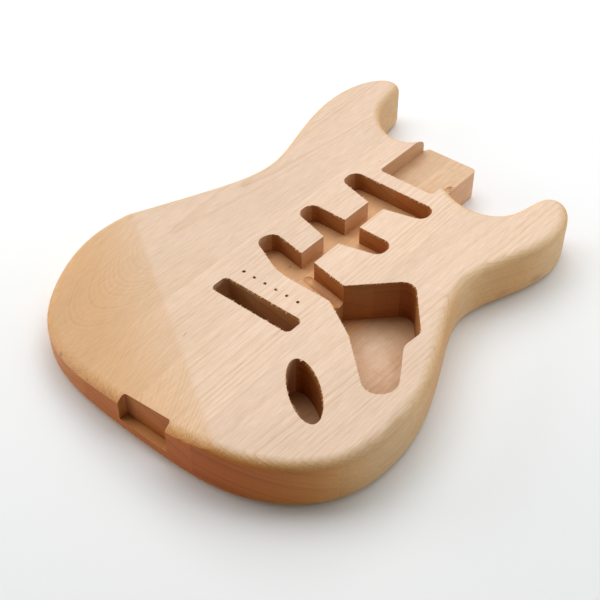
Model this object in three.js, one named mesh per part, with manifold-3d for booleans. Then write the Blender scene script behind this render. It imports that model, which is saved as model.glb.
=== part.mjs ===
import * as THREE from 'three';
import { NURBSCurve } from 'three/addons/curves/NURBSCurve.js';
import { mergeVertices } from 'three/addons/utils/BufferGeometryUtils.js';
import Module from 'manifold-3d';

const wasm = await Module();
wasm.setup();

// An unfinished solid-wood guitar body: five boards glued edge to edge, shaped and routed as one.
// Millimetres. X runs to the treble side, Y to the neck, Z out of the top face.
// The layout is drawn from the row of bridge screw holes on the centreline, at the back face.

// Blank
const THICKNESS = 44.45;
const HALF_WIDTH = 163;
const HORN_REACH = 310;
const BUTT_REACH = 153;
const EDGE_RADIUS = 8.5;
const BACK_EDGE_RADIUS = 7;
const OVERRUN = 12;
const JOIN_OVERLAP = 7;

// Glue lines between the boards, from the bass side to the treble side
const BASS_GLUE_X = -52;
const CENTRE_GLUE_X = 0;
const TREBLE_GLUE_X = 59.7;
const EDGE_STRIP_WIDTH = 13;
const GLUE_TOLERANCE = 0.002;

// Neck pocket and the block under it
const POCKET_WIDTH = 56;
const POCKET_LENGTH = 74;
const POCKET_DEPTH = 15.5;
const POCKET_CORNER_RADIUS = 4;
const POCKET_TREBLE_WALL = 21;
const HEEL_BASS_INSET = 1.5;
const HEEL_BASS_RADIUS = 3;
const HEEL_TREBLE_INSET = 1.2;
const HEEL_TREBLE_RADIUS = 4.5;
const HEEL_EDGE_CHAMFER = 1.5;

// Pickup routes and the wiring channel between them
const PICKUP_LENGTH = 87.5;
const PICKUP_WIDTH = 18.8;
const PICKUP_END_RADIUS = 9.2;
const PICKUP_VEE = 9.4;
const PICKUP_PITCH = 60;
const PICKUP_BASS_SHIFT = 0.7;
const ROUTE_DEPTH = 17.3;
const NECK_PICKUP_SETBACK = 24.3;
const BRIDGE_PICKUP_Y = 36.2;
const BRIDGE_PICKUP_SLANT = THREE.MathUtils.degToRad(-10.2);
const BRIDGE_PICKUP_BASS_SHIFT = 1.7;
const BRIDGE_PICKUP_FLARE = 2.85;
const CHANNEL_WIDTH = 15.4;

// Control cavity
const CONTROL_X = 43.1;
const CONTROL_Y = -44.4;
const CONTROL_LENGTH = 122.7;
const CONTROL_WALL = 19.9;
const CONTROL_DEPTH = 37.5;
const CONTROL_CORNER_RADIUS = 9.5;

// Wiring trough along the far wall of the bridge pickup route, with a flank that climbs to the near rim
const TROUGH_RADIUS = 6.35;
const TROUGH_SINK = 1.6;
const TROUGH_START = 5.9;
const TROUGH_FLANK_ANGLE = THREE.MathUtils.degToRad(38.7);

// Jack cavity and its wire hole
const JACK_INSET = 72;
const JACK_Y = -67.5;
const JACK_LENGTH = 64.4;
const JACK_WIDTH = 24.2;
const JACK_DEPTH = 36;
const JACK_ANGLE = THREE.MathUtils.degToRad(-38.8);
const JACK_WIRE_RADIUS = 4;
const JACK_WIRE_Z = 14;

// Tremolo bridge: screw holes, slot and the cavities behind it
const SCREW_PITCH = 11.2;
const SCREW_COUNT = 6;
const SCREW_HOLE_RADIUS = 1.5;
const SCREW_HOLE_DEPTH = 24;
const SLOT_BASS_X = -35;
const SLOT_TREBLE_X = 44.5;
const SLOT_NEAR_Y = -31.4;
const SLOT_FAR_Y = -13.4;
const SLOT_CORNER_RADIUS = 5;
const SLOT_LIP = 4.5;
const BLOCK_POCKET_MARGIN = 1.2;
const SPRING_WIDTH = 57;
const SPRING_END_Y = 98;
const SPRING_DEPTH = 16.5;
const SPRING_CORNER_RADIUS = 8;
const EARTH_WIRE_RADIUS = 2.5;
const EARTH_WIRE_Y = 22;
const EARTH_WIRE_Z = 11.5;

// Notch in the butt edge
const NOTCH_BASS_X = -12.5;
const NOTCH_TREBLE_X = 36;
const NOTCH_LENGTH = 8;
const NOTCH_DEPTH = 32;
const NOTCH_CORNER_RADIUS = 3;

// Forearm bevel: a plane that falls away from a straight ridge on the top
const BEVEL_RIDGE_INSET = 18;
const BEVEL_RIDGE_Y = -8;
const BEVEL_RIDGE_ANGLE = THREE.MathUtils.degToRad(-31.5);
const BEVEL_SLOPE = 0.21;
const BEVEL_EDGE_WIDTH = 8.5;
const BEVEL_EDGE_DROP = 4;

// Belly contour: a wide cylindrical scoop on the bass side of the back
const BELLY_RADIUS = 330;
const BELLY_DEPTH = 15;
const BELLY_REACH = 78;
const BELLY_INSET = 51;
const BELLY_Y = 78;
const BELLY_TURN = THREE.MathUtils.degToRad(-14);

// Facets
const OUTLINE_STEPS = 230;
const EDGE_STEPS = 6;
const BACK_EDGE_STEPS = 4;
const CURVE_STEPS = 10;
const ROUND_STEPS = 16;
const BELLY_STEPS = 240;

// Control polygon of the outline from the heel block round the bass side, the butt and the treble
// side back to the heel block: across in half widths, along in reaches to the horn or to the butt.
const outlineShares = [
  [-0.202, 0.754], [-0.3, 0.737], [-0.44, 0.768], [-0.56, 0.845], [-0.582, 0.938], [-0.602, 0.996],
  [-0.735, 1.006], [-0.859, 0.9], [-0.857, 0.728], [-0.745, 0.545], [-0.65, 0.385], [-0.78, 0.2],
  [-0.93, 0.02], [-1.06, -0.275], [-0.9, -0.7], [-0.63, -0.94], [-0.26, -0.995], [0.155, -1],
  [0.51, -0.99], [0.78, -0.855], [0.965, -0.64], [1.005, -0.315], [0.955, -0.02], [0.81, 0.16],
  [0.675, 0.305], [0.715, 0.41], [0.83, 0.545], [0.87, 0.67], [0.775, 0.795], [0.625, 0.79],
  [0.6, 0.72], [0.565, 0.63], [0.405, 0.59], [0.255, 0.61],
];

// Far end of the heel block, in reaches to the horn
const heelEndShare = 0.813;

// Corners of the control cavity: across in cavity widths, along in cavity lengths, radius in corner radii.
// The last corner lies on the rim where the wiring passage comes in.
const controlCornerShares = [
  [0, 0.668, 0], [0.399, 1, 1.14], [0.77, 0.631, 0.88], [0.752, 0.473, 1.47],
  [1, 0.144, 1.55], [0.832, 0, 1.33], [0.371, 0.331, 2.5], [0.026, 0.496, 0],
];

// Where the jack's wire hole comes out in the control cavity: across and along, as above
const jackWireShares = [0.85, 0.12];

// Places that follow from the sizes above
const EDGE_STRIP_GLUE_X = HALF_WIDTH - EDGE_STRIP_WIDTH;
const HEEL_END_Y = heelEndShare * HORN_REACH;
const HEEL_BASS_X = HEEL_BASS_INSET - POCKET_WIDTH / 2;
const HEEL_TREBLE_X = POCKET_WIDTH / 2 - HEEL_TREBLE_INSET;
const POCKET_WALL_Y = HEEL_END_Y - POCKET_LENGTH;
const NECK_PICKUP_Y = POCKET_WALL_Y - NECK_PICKUP_SETBACK;
const CONTROL_WIDTH = HALF_WIDTH - CONTROL_X - CONTROL_WALL;
const JACK_X = HALF_WIDTH - JACK_INSET;
const NOTCH_WALL_Y = NOTCH_LENGTH - BUTT_REACH;
const BEVEL_RIDGE_X = BEVEL_RIDGE_INSET - HALF_WIDTH;
const BELLY_X = BELLY_INSET - HALF_WIDTH;

// Closed solid of a geometry whose faces are merged at their shared corners
function solidOf(geometry) {
  const bare = geometry.clone();
  bare.deleteAttribute('normal');
  bare.deleteAttribute('uv');
  const merged = mergeVertices(bare);
  const corners = merged.index.array;
  const kept = [];
  for (let i = 0; i < corners.length; i += 3) {
    const [a, b, c] = corners.slice(i, i + 3);
    if (a !== b && b !== c && c !== a) {
      kept.push(a, b, c);
    }
  }
  return new wasm.Manifold(new wasm.Mesh({
    numProp: 3,
    vertProperties: Float32Array.from(merged.attributes.position.array),
    triVerts: Uint32Array.from(kept),
  }));
}

// Flat-shaded geometry of a solid
function geometryOf(solid) {
  const mesh = solid.getMesh();
  const geometry = new THREE.BufferGeometry();
  geometry.setAttribute('position', new THREE.BufferAttribute(mesh.vertProperties, 3));
  geometry.setIndex(new THREE.BufferAttribute(mesh.triVerts, 1));
  geometry.computeVertexNormals();
  return geometry;
}

// Shape through corners [x, y, radius], each corner rounded by a tangent arc that takes up to half a side
function roundedShape(corners) {
  const shape = new THREE.Shape();
  const points = corners.map(([x, y]) => new THREE.Vector2(x, y));
  points.forEach((corner, i) => {
    const before = points.at(i - 1).clone().sub(corner);
    const after = points[(i + 1) % points.length].clone().sub(corner);
    const room = Math.min(before.length(), after.length()) / 2;
    before.normalize();
    after.normalize();
    const halfAngle = Math.acos(THREE.MathUtils.clamp(before.dot(after), -1, 1)) / 2;
    const radius = Math.min(corners[i][2], room * Math.tan(halfAngle));
    const setback = radius / Math.tan(halfAngle);
    const start = corner.clone().addScaledVector(before, setback);
    if (i === 0) {
      shape.moveTo(start.x, start.y);
    } else {
      shape.lineTo(start.x, start.y);
    }
    if (radius > 0) {
      const inward = before.clone().add(after).normalize();
      const centre = corner.clone().addScaledVector(inward, radius / Math.sin(halfAngle));
      const end = corner.clone().addScaledVector(after, setback);
      const clockwise = before.cross(after) > 0;
      const from = Math.atan2(start.y - centre.y, start.x - centre.x);
      const to = Math.atan2(end.y - centre.y, end.x - centre.x);
      shape.absarc(centre.x, centre.y, radius, from, to, clockwise);
    }
  });
  shape.closePath();
  return shape;
}

function rectangleCorners(x0, y0, x1, y1, radius) {
  return [[x0, y0, radius], [x1, y0, radius], [x1, y1, radius], [x0, y1, radius]];
}

// Prism of a shape between two heights
function prism(shape, z0, z1) {
  const geometry = new THREE.ExtrudeGeometry(shape, {
    depth: z1 - z0,
    bevelEnabled: false,
    curveSegments: CURVE_STEPS,
  });
  geometry.translate(0, 0, z0);
  return solidOf(geometry);
}

// Cutter that opens at the top face and ends at the given depth
function topRoute(shape, depth) {
  return prism(shape, THICKNESS - depth, THICKNESS + OVERRUN);
}

// Round bar between two points
function bar(from, to, radius) {
  const along = to.clone().sub(from);
  const geometry = new THREE.CylinderGeometry(radius, radius, along.length(), ROUND_STEPS);
  const turn = new THREE.Quaternion().setFromUnitVectors(new THREE.Vector3(0, 1, 0), along.normalize());
  geometry.applyQuaternion(turn);
  const middle = from.clone().lerp(to, 1 / 2);
  geometry.translate(middle.x, middle.y, middle.z);
  return solidOf(geometry);
}

// Points and outward normals of the curved outline, from the heel block's rounded bass corner round to the
// end of the pocket's treble wall
function bodyOutline() {
  const cornerDepth = HEEL_BASS_RADIUS * (1 - Math.SQRT1_2);
  const heelBass = [HEEL_BASS_X + cornerDepth, HEEL_END_Y - cornerDepth];
  const heelTreble = [POCKET_WIDTH / 2, POCKET_WALL_Y + POCKET_TREBLE_WALL];
  const drawn = outlineShares.map(([across, along]) => [
    across * HALF_WIDTH,
    along * (along > 0 ? HORN_REACH : BUTT_REACH),
  ]);
  const controls = [heelBass, ...drawn, heelTreble].map(([x, y]) => new THREE.Vector4(x, y, 0, 1));
  const degree = 3;
  const spans = controls.length - degree;
  const knots = controls.map((_, i) => THREE.MathUtils.clamp(i - degree, 0, spans));
  knots.push(...Array(degree + 1).fill(spans));
  const curve = new NURBSCurve(degree, knots, controls);
  const outline = [];
  for (let i = 0; i <= OUTLINE_STEPS; i += 1) {
    const share = i / OUTLINE_STEPS;
    const point = curve.getPoint(share);
    const tangent = curve.getTangent(share);
    outline.push({ x: point.x, y: point.y, nx: tangent.y, ny: -tangent.x });
  }
  return outline;
}

// Solid whose skin is a stack of rings, each the outline moved inward and lifted by heightAt(x, y)
function ringSolid(outline, rings) {
  const count = outline.length;
  const positions = [];
  rings.forEach(({ inset, heightAt }) => {
    outline.forEach(({ x, y, nx, ny }) => {
      const px = x - nx * inset;
      const py = y - ny * inset;
      positions.push(px, py, heightAt(px, py));
    });
  });
  const triangles = [];
  for (let ring = 0; ring + 1 < rings.length; ring += 1) {
    for (let i = 0; i < count; i += 1) {
      const next = (i + 1) % count;
      const a = ring * count + i;
      const b = ring * count + next;
      triangles.push(a, b, b + count, a, b + count, a + count);
    }
  }
  const capOf = (ring) => {
    const start = ring * count;
    const points = outline.map((_, i) => new THREE.Vector2(
      positions[3 * (start + i)],
      positions[3 * (start + i) + 1],
    ));
    return THREE.ShapeUtils.triangulateShape(points, []).map((face) => face.map((i) => start + i));
  };
  capOf(0).forEach(([a, b, c]) => triangles.push(a, c, b));
  capOf(rings.length - 1).forEach(([a, b, c]) => triangles.push(a, b, c));
  const geometry = new THREE.BufferGeometry();
  geometry.setAttribute('position', new THREE.Float32BufferAttribute(positions, 3));
  geometry.setIndex(triangles);
  return solidOf(geometry);
}

// Rings of a rounded edge: a circular arc of the given width and drop, under the surface topAt
function edgeRings(width, drop, topAt) {
  const radius = (width * width + drop * drop) / (2 * drop);
  const sweep = Math.asin(Math.min(1, width / radius));
  const rings = [];
  for (let step = 0; step <= EDGE_STEPS; step += 1) {
    const angle = sweep * (1 - step / EDGE_STEPS);
    rings.push({
      inset: width - radius * Math.sin(angle),
      heightAt: (x, y) => topAt(x, y) - radius * (1 - Math.cos(angle)),
    });
  }
  return rings;
}

function backRings() {
  const rings = [];
  for (let step = 0; step <= BACK_EDGE_STEPS; step += 1) {
    const angle = (Math.PI / 2) * (step / BACK_EDGE_STEPS);
    rings.push({
      inset: BACK_EDGE_RADIUS * (1 - Math.sin(angle)),
      heightAt: () => BACK_EDGE_RADIUS * (1 - Math.cos(angle)),
    });
  }
  return rings;
}

// Height of the forearm bevel's plane, above the top face on the far side of its ridge
function bevelHeight(x, y) {
  const across = (x - BEVEL_RIDGE_X) * Math.sin(BEVEL_RIDGE_ANGLE);
  const along = (y - BEVEL_RIDGE_Y) * Math.cos(BEVEL_RIDGE_ANGLE);
  return THICKNESS - BEVEL_SLOPE * (across - along);
}

// Blank: the flat-topped body and the bevelled one, as far as they agree
function shapedBlank() {
  const outline = bodyOutline();
  const back = backRings();
  const flatEdge = edgeRings(EDGE_RADIUS, EDGE_RADIUS, () => THICKNESS);
  const bevelEdge = edgeRings(BEVEL_EDGE_WIDTH, BEVEL_EDGE_DROP, bevelHeight);
  return ringSolid(outline, [...back, ...flatEdge]).intersect(ringSolid(outline, [...back, ...bevelEdge]));
}

// Block that carries the neck, square to the pocket, with a small chamfer round its back edge
function heelBlock() {
  const corners = (inset) => [
    [HEEL_BASS_X + inset, POCKET_WALL_Y, 0],
    [HEEL_TREBLE_X - inset, POCKET_WALL_Y, 0],
    [HEEL_TREBLE_X - inset, HEEL_END_Y - inset, HEEL_TREBLE_RADIUS],
    [HEEL_BASS_X + inset, HEEL_END_Y - inset, HEEL_BASS_RADIUS],
  ];
  const upper = prism(roundedShape(corners(0)), HEEL_EDGE_CHAMFER, THICKNESS);
  const lower = prism(roundedShape(corners(HEEL_EDGE_CHAMFER / 2)), 0, HEEL_EDGE_CHAMFER);
  return upper.add(lower);
}

function neckPocket() {
  const half = POCKET_WIDTH / 2;
  const corners = [
    [-half, POCKET_WALL_Y, POCKET_CORNER_RADIUS],
    [half, POCKET_WALL_Y, POCKET_CORNER_RADIUS],
    [half, HEEL_END_Y + OVERRUN, 0],
    [-half, HEEL_END_Y + OVERRUN, 0],
  ];
  return topRoute(roundedShape(corners), POCKET_DEPTH);
}

// Pickup route about its own middle: rounded ends, and a shallow vee towards the wiring channel
function pickupCorners() {
  const half = PICKUP_LENGTH / 2;
  const side = PICKUP_WIDTH / 2;
  const veeY = -side - PICKUP_VEE;
  return [
    [half, side, PICKUP_END_RADIUS],
    [-half, side, PICKUP_END_RADIUS],
    [-half, -side, PICKUP_END_RADIUS],
    [-CHANNEL_WIDTH / 2, veeY, 0],
    [CHANNEL_WIDTH / 2, veeY, 0],
    [half, -side, PICKUP_END_RADIUS],
  ];
}

function placed(corners, x, y, turn) {
  return corners.map(([u, v, radius]) => [
    x + u * Math.cos(turn) - v * Math.sin(turn),
    y + u * Math.sin(turn) + v * Math.cos(turn),
    radius,
  ]);
}

function onBridgePickup(corners) {
  return placed(corners, -BRIDGE_PICKUP_BASS_SHIFT, BRIDGE_PICKUP_Y, BRIDGE_PICKUP_SLANT);
}

// Half the width of the trough where it meets the route's floor, and its axis across the bridge pickup
const troughHalfWidth = Math.sqrt(TROUGH_RADIUS ** 2 - (TROUGH_RADIUS - TROUGH_SINK) ** 2);
const troughAxis = PICKUP_WIDTH / 2 - troughHalfWidth;
const troughReach = CONTROL_X + BRIDGE_PICKUP_BASS_SHIFT + JOIN_OVERLAP;

// Bridge pickup route: its near wall flares towards the control cavity, its far side runs on into it
function bridgePickupShape() {
  const half = PICKUP_LENGTH / 2;
  const side = PICKUP_WIDTH / 2;
  const bassEnd = pickupCorners().slice(1, -1);
  return roundedShape(onBridgePickup([
    [troughReach, side, 0],
    ...bassEnd,
    [half, -side - BRIDGE_PICKUP_FLARE, PICKUP_END_RADIUS],
    [half, troughAxis, 0],
    [troughReach, troughAxis, 0],
  ]));
}

function pickupRoutes() {
  const neck = placed(pickupCorners(), -PICKUP_BASS_SHIFT, NECK_PICKUP_Y, 0);
  const middle = placed(pickupCorners(), -PICKUP_BASS_SHIFT, NECK_PICKUP_Y - PICKUP_PITCH, 0);
  const half = CHANNEL_WIDTH / 2;
  const channel = rectangleCorners(-half, BRIDGE_PICKUP_Y, half, NECK_PICKUP_Y, 0);
  const shapes = [...[neck, middle, channel].map(roundedShape), bridgePickupShape()];
  return shapes.map((shape) => topRoute(shape, ROUTE_DEPTH));
}

function controlCavity() {
  const corners = controlCornerShares.map(([across, along, round]) => [
    CONTROL_X + across * CONTROL_WIDTH,
    CONTROL_Y + along * CONTROL_LENGTH,
    round * CONTROL_CORNER_RADIUS,
  ]);
  return topRoute(roundedShape(corners), CONTROL_DEPTH);
}

// Ball-ended trough at the foot of the far wall. Its near flank climbs to the near wall of the passage that
// lets the leads into the control cavity, and it stays inside the plan of the route and that passage.
function wiringTrough() {
  const floor = THICKNESS - ROUTE_DEPTH;
  const top = THICKNESS + OVERRUN;
  const centre = floor - TROUGH_SINK + TROUGH_RADIUS;
  const flankFoot = TROUGH_RADIUS * Math.sin(TROUGH_FLANK_ANGLE);
  const flankRise = top - centre + TROUGH_RADIUS * Math.cos(TROUGH_FLANK_ANGLE);
  const fromAngle = -Math.acos(troughHalfWidth / TROUGH_RADIUS);
  const section = new THREE.Shape();
  section.moveTo(0, top);
  section.lineTo(troughHalfWidth, floor);
  section.absarc(0, centre, TROUGH_RADIUS, fromAngle, -Math.PI / 2 - TROUGH_FLANK_ANGLE, true);
  section.lineTo(-flankFoot - flankRise / Math.tan(TROUGH_FLANK_ANGLE), top);
  section.closePath();
  const run = new THREE.ExtrudeGeometry(section, {
    depth: troughReach - TROUGH_START,
    bevelEnabled: false,
    curveSegments: ROUND_STEPS,
  });
  run.translate(0, 0, TROUGH_START);
  run.rotateX(Math.PI / 2);
  run.rotateZ(Math.PI / 2);
  run.translate(0, troughAxis, 0);
  const ball = new THREE.SphereGeometry(TROUGH_RADIUS, 2 * ROUND_STEPS, ROUND_STEPS);
  ball.rotateX(Math.PI / 2);
  ball.translate(TROUGH_START, troughAxis, centre);
  [run, ball].forEach((geometry) => {
    geometry.rotateZ(BRIDGE_PICKUP_SLANT);
    geometry.translate(-BRIDGE_PICKUP_BASS_SHIFT, BRIDGE_PICKUP_Y, 0);
  });
  const rimShare = controlCornerShares.at(-1)[1];
  const passage = roundedShape(rectangleCorners(
    CONTROL_X - PICKUP_WIDTH,
    CONTROL_Y + rimShare * CONTROL_LENGTH,
    CONTROL_X + JOIN_OVERLAP,
    BRIDGE_PICKUP_Y,
    0,
  ));
  const plan = prism(bridgePickupShape(), 0, top).add(prism(passage, 0, top));
  return solidOf(run).add(solidOf(ball)).intersect(plan);
}

function jackCavity() {
  const shape = new THREE.Shape();
  shape.absellipse(JACK_X, JACK_Y, JACK_LENGTH / 2, JACK_WIDTH / 2, 0, 2 * Math.PI, false, JACK_ANGLE);
  const bowl = new THREE.ExtrudeGeometry(shape, {
    depth: JACK_DEPTH + OVERRUN,
    bevelEnabled: false,
    curveSegments: 2 * ROUND_STEPS,
  });
  bowl.translate(0, 0, THICKNESS - JACK_DEPTH);
  const [across, along] = jackWireShares;
  const jackEnd = new THREE.Vector3(JACK_X, JACK_Y, JACK_WIRE_Z);
  const controlEnd = new THREE.Vector3(
    CONTROL_X + across * CONTROL_WIDTH,
    CONTROL_Y + along * CONTROL_LENGTH,
    JACK_WIRE_Z,
  );
  const wireHole = bar(jackEnd, controlEnd, JACK_WIRE_RADIUS);
  return solidOf(bowl).add(wireHole);
}

function screwHoles() {
  const holes = [];
  for (let i = 0; i < SCREW_COUNT; i += 1) {
    const x = (i - (SCREW_COUNT - 1) / 2) * SCREW_PITCH;
    const foot = new THREE.Vector3(x, 0, THICKNESS - SCREW_HOLE_DEPTH);
    const head = new THREE.Vector3(x, 0, THICKNESS + OVERRUN);
    holes.push(bar(foot, head, SCREW_HOLE_RADIUS));
  }
  return holes;
}

// Through slot, the wider block pocket under its lip, the spring cavity and its earth-wire hole
function tremoloCavities() {
  const slot = rectangleCorners(SLOT_BASS_X, SLOT_NEAR_Y, SLOT_TREBLE_X, SLOT_FAR_Y, SLOT_CORNER_RADIUS);
  const block = rectangleCorners(
    SLOT_BASS_X - BLOCK_POCKET_MARGIN,
    SLOT_NEAR_Y - BLOCK_POCKET_MARGIN,
    SLOT_TREBLE_X + BLOCK_POCKET_MARGIN,
    SLOT_FAR_Y + BLOCK_POCKET_MARGIN,
    SLOT_CORNER_RADIUS,
  );
  const springs = rectangleCorners(
    -SPRING_WIDTH / 2,
    SLOT_NEAR_Y,
    SPRING_WIDTH / 2,
    SPRING_END_Y,
    SPRING_CORNER_RADIUS,
  );
  const wireStart = new THREE.Vector3(0, EARTH_WIRE_Y, EARTH_WIRE_Z);
  const wireEnd = new THREE.Vector3(CONTROL_X + JOIN_OVERLAP, EARTH_WIRE_Y, EARTH_WIRE_Z);
  return [
    prism(roundedShape(slot), -OVERRUN, THICKNESS + OVERRUN),
    prism(roundedShape(block), -OVERRUN, THICKNESS - SLOT_LIP),
    prism(roundedShape(springs), -OVERRUN, SPRING_DEPTH),
    bar(wireStart, wireEnd, EARTH_WIRE_RADIUS),
  ];
}

function buttNotch() {
  const beyond = -BUTT_REACH - OVERRUN;
  const corners = [
    [NOTCH_BASS_X, beyond, 0],
    [NOTCH_TREBLE_X, beyond, 0],
    [NOTCH_TREBLE_X, NOTCH_WALL_Y, NOTCH_CORNER_RADIUS],
    [NOTCH_BASS_X, NOTCH_WALL_Y, NOTCH_CORNER_RADIUS],
  ];
  return topRoute(roundedShape(corners), NOTCH_DEPTH);
}

// Scoop for the player's ribs: a wide cylinder, deepest at the waist and fading towards the middle
function bellyScoop() {
  const tilt = Math.atan(BELLY_DEPTH / BELLY_REACH);
  const geometry = new THREE.CylinderGeometry(BELLY_RADIUS, BELLY_RADIUS, 4 * BELLY_REACH, BELLY_STEPS);
  geometry.rotateZ(Math.PI / 2);
  geometry.translate(0, 0, -BELLY_RADIUS);
  geometry.rotateY(tilt);
  geometry.rotateZ(BELLY_TURN);
  geometry.translate(BELLY_X, BELLY_Y, BELLY_DEPTH);
  return solidOf(geometry);
}

// The shaped body in one piece, before it is taken apart at its glue lines
function wholeBody() {
  const cutters = [
    neckPocket(),
    ...pickupRoutes(),
    controlCavity(),
    wiringTrough(),
    jackCavity(),
    ...screwHoles(),
    ...tremoloCavities(),
    buttNotch(),
    bellyScoop(),
  ];
  return cutters.reduce((body, cutter) => body.subtract(cutter), shapedBlank().add(heelBlock()));
}

// Board between two glue lines, cut out of the body by a slab and lying exactly on both lines
function board(body, x0, x1) {
  const along = HORN_REACH + BUTT_REACH + 2 * OVERRUN;
  const slab = new THREE.BoxGeometry(x1 - x0, along, THICKNESS + 2 * OVERRUN);
  slab.translate((x0 + x1) / 2, (HORN_REACH - BUTT_REACH) / 2, THICKNESS / 2);
  const geometry = geometryOf(body.intersect(solidOf(slab)));
  const corners = geometry.attributes.position;
  for (let i = 0; i < corners.count; i += 1) {
    const glued = [x0, x1].find((x) => Math.abs(corners.getX(i) - x) < GLUE_TOLERANCE);
    if (glued !== undefined) {
      corners.setX(i, glued);
    }
  }
  return geometry;
}

const paleWood = new THREE.Color('#dcc09c');
const warmWood = new THREE.Color('#d6b48c');
const boards = [
  { name: 'bass_board', x0: -HALF_WIDTH - OVERRUN, x1: BASS_GLUE_X, color: warmWood },
  { name: 'centre_bass_board', x0: BASS_GLUE_X, x1: CENTRE_GLUE_X, color: paleWood },
  { name: 'centre_treble_board', x0: CENTRE_GLUE_X, x1: TREBLE_GLUE_X, color: paleWood },
  { name: 'treble_board', x0: TREBLE_GLUE_X, x1: EDGE_STRIP_GLUE_X, color: warmWood },
  { name: 'treble_edge_strip', x0: EDGE_STRIP_GLUE_X, x1: HALF_WIDTH + OVERRUN, color: paleWood },
];

const body = wholeBody();
const guitarBody = new THREE.Group();
boards.forEach(({ name, x0, x1, color }) => {
  const material = new THREE.MeshStandardMaterial({ color, roughness: 0.62, metalness: 0 });
  const mesh = new THREE.Mesh(board(body, x0, x1), material);
  mesh.name = name;
  guitarBody.add(mesh);
});

// The origin is the middle of the body's footprint on its back face
const bounds = new THREE.Box3().setFromObject(guitarBody);
const middle = bounds.getCenter(new THREE.Vector3());
guitarBody.position.set(-middle.x, -middle.y, -bounds.min.z);

export default guitarBody;
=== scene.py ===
"""Bare solid-wood electric guitar body: five glued boards of raw alder, on a pale studio floor."""

import math

import bpy
import numpy as np
from mathutils import Euler, Matrix, Vector


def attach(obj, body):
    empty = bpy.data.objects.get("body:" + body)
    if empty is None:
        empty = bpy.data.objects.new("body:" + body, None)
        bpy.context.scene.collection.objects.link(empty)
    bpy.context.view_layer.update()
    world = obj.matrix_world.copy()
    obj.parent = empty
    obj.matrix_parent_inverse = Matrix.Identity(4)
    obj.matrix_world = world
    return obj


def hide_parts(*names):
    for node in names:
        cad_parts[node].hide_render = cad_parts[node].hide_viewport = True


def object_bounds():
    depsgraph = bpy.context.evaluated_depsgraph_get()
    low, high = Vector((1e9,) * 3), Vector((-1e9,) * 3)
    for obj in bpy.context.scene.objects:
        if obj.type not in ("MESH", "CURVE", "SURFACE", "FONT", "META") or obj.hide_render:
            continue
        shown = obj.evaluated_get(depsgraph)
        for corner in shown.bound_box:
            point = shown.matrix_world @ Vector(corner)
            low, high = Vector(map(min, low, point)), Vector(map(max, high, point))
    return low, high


bl_info = {
    "name": "Bare Guitar Body",
    "version": (1, 0, 0),
    "blender": (4, 5, 0),
    "location": "View3D > Sidebar > Guitar Body",
    "description": "Builds an unfinished solid-wood guitar body from its packed boards",
    "category": "Object",
}

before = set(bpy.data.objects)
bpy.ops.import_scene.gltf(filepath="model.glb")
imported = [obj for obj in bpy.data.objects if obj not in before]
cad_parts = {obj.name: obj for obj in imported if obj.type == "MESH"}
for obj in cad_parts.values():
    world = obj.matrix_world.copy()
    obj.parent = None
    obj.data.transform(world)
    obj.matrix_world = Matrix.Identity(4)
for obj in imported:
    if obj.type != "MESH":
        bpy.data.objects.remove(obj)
cad_low, cad_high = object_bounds()

MM = 0.001
TOP = cad_high.z / MM

# Place of the drawing's origin, the middle of the row of bridge screw holes, in millimetres. Heights in
# the drawing are counted from the top face.
LAYOUT_X = 1.774
LAYOUT_Y = -78.281
LAYOUT = (LAYOUT_X, LAYOUT_Y, TOP)


def linear(hex_colour):
    """Linear red, green and blue of an sRGB hex colour: each channel is divided by 12.92 where it is
    small, and otherwise is (channel + 0.055) / 1.055 to the power of 2.4."""
    shares = [int(hex_colour[i : i + 2], 16) / 255 for i in (1, 3, 5)]
    return tuple(c / 12.92 if c <= 0.04045 else ((c + 0.055) / 1.055) ** 2.4 for c in shares)


def add(tree, kind, *values, sockets=None, **settings):
    """Adds a shader node with its settings and links. The values fill its sockets from the first on,
    and sockets fills them by name. Each is a plain value, an output, or a node, which stands for its
    first output."""
    node = tree.nodes.new("ShaderNode" + kind)
    for key, value in settings.items():
        setattr(node, key, value)
    for key, value in (*enumerate(values), *(sockets or {}).items()):
        if isinstance(value, bpy.types.Node):
            value = value.outputs[0]
        if isinstance(value, bpy.types.NodeSocket):
            tree.links.new(value, node.inputs[key])
        else:
            node.inputs[key].default_value = value
    return node


# ---------------------------------------------------------------- properties


class BodySizes(bpy.types.PropertyGroup):
    """Sizes of the finish and of the studio"""

    crease: bpy.props.FloatProperty(
        name="Crease",
        description="Angle between faces from which an edge counts as machined",
        default=math.radians(34),
        unit="ROTATION",
        subtype="ANGLE",
    )
    fray_spacing: bpy.props.FloatProperty(
        name="Fray spacing",
        description="Mean distance between the torn fibres along the rim of a route",
        default=0.6 * MM,
        min=0.1 * MM,
        unit="LENGTH",
        subtype="DISTANCE",
    )
    fray_length: bpy.props.FloatProperty(
        name="Fray length",
        description="Length of the longest torn fibre at the rim of a route",
        default=2.6 * MM,
        min=0,
        unit="LENGTH",
        subtype="DISTANCE",
    )
    floor_width: bpy.props.FloatProperty(
        name="Floor width",
        description="Width of the studio floor",
        default=8,
        unit="LENGTH",
        subtype="DISTANCE",
    )


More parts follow.
